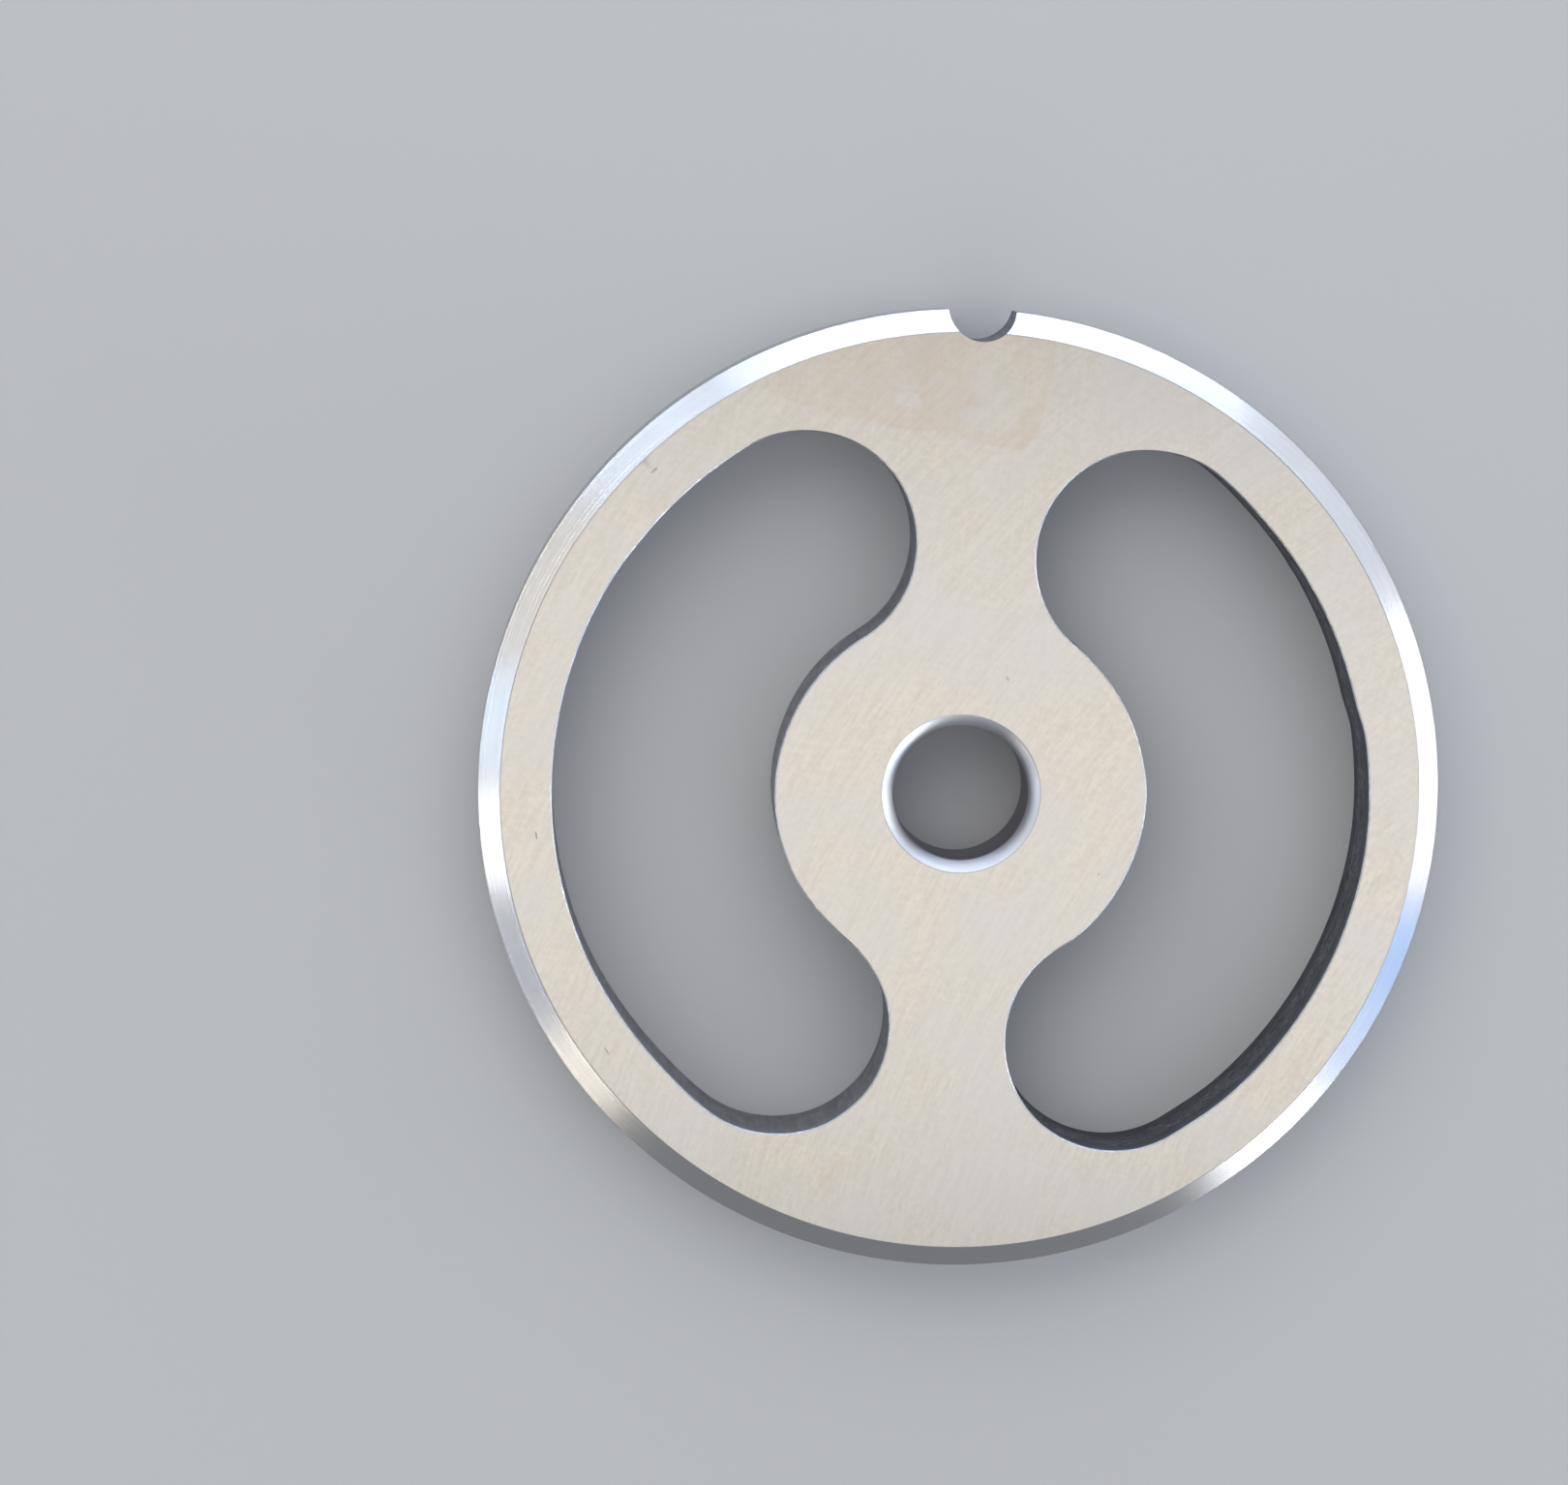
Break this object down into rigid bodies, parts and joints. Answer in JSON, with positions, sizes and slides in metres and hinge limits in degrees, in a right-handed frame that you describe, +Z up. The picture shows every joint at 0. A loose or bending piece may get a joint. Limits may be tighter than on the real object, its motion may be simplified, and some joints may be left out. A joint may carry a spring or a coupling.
{
  "type": "meat grinder plate",
  "caption": "Flat round meat grinder plate with a bored hub on a web, kidney-shaped openings either side of it, and a half-round locating notch in its chamfered rim.",
  "frame": {"origin": "on the plate's axis at its lower face", "axes": "+Z up along the bore's axis, the web along Y with the notch at its +Y end, the openings at +X and -X"},
  "size_m": [0.082, 0.0819, 0.009],
  "materials": {
    "steel": "ground flat on both faces, turned chamfers, plain cut openings"
  },
  "bodies": {
    "root": {"grinder_plate": "steel"}
  },
  "joints": []
}
